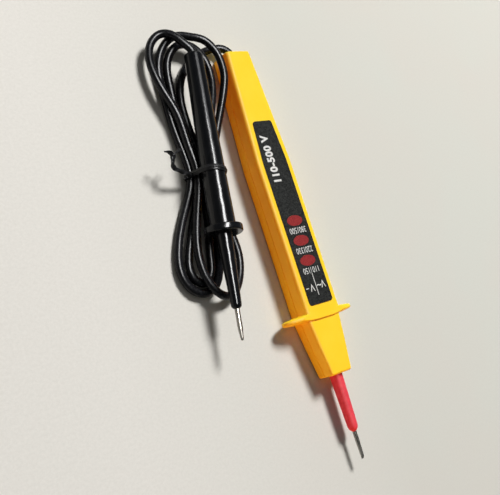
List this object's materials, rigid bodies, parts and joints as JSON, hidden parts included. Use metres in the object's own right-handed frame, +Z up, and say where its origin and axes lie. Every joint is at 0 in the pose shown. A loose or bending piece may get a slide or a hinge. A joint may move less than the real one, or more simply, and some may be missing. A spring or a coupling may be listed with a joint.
{
  "type": "circuit tester",
  "caption": "Handheld two-pole circuit tester: slim case with a fixed probe, finger guard and lamp windows, with a lead to a hand probe.",
  "frame": {"origin": "centre of the tester case's underside, on the plane that it lies on", "axes": "+Y from the fixed probe's tip towards the lead end of the case, +Z up, +X to the right seen from above with the lead end up"},
  "size_m": [0.0731, 0.1863, 0.0187],
  "materials": {
    "case_plastic": "fine satin moulded ABS, warm yellow",
    "label_film": "matt black printed film with a fine grain",
    "window_red": "dull translucent red with the film's grain",
    "pin_steel": "nickel-plated turned steel",
    "sleeve_red": "satin red moulded sleeve",
    "wire_insulation": "insulated hook-up wire",
    "board": "paper laminate board",
    "lamp_glass": "clear neon lamp glass",
    "resistor_body": "lacquered resistor body",
    "lead_pvc": "soft black PVC with a satin sheen",
    "copper": "stranded copper, tinned at the end",
    "handle_plastic": "glossy black moulded plastic",
    "tie_plastic": "black plastic-covered wire tie",
    "screw_steel": "zinc-plated self-tapping screw"
  },
  "bodies": {
    "root": {"upper_shell": "case_plastic", "lower_shell": "case_plastic", "label": "label_film", "window_lens_1": "window_red", "window_lens_2": "window_red", "window_lens_3": "window_red", "probe_pin": "pin_steel", "pin_sleeve": "sleeve_red", "pin_wire": "wire_insulation", "circuit_board": "board", "neon_lamp_1": "lamp_glass", "neon_lamp_2": "lamp_glass", "neon_lamp_3": "lamp_glass", "resistor_1": "resistor_body", "resistor_2": "resistor_body", "resistor_3": "resistor_body", "resistor_4": "resistor_body", "cord": "lead_pvc", "lead_core": "copper", "hand_probe_handle": "handle_plastic", "hand_probe_pin": "pin_steel", "hand_probe_core": "copper", "cord_tie": "tie_plastic", "case_screw": "screw_steel"}
  },
  "joints": []
}
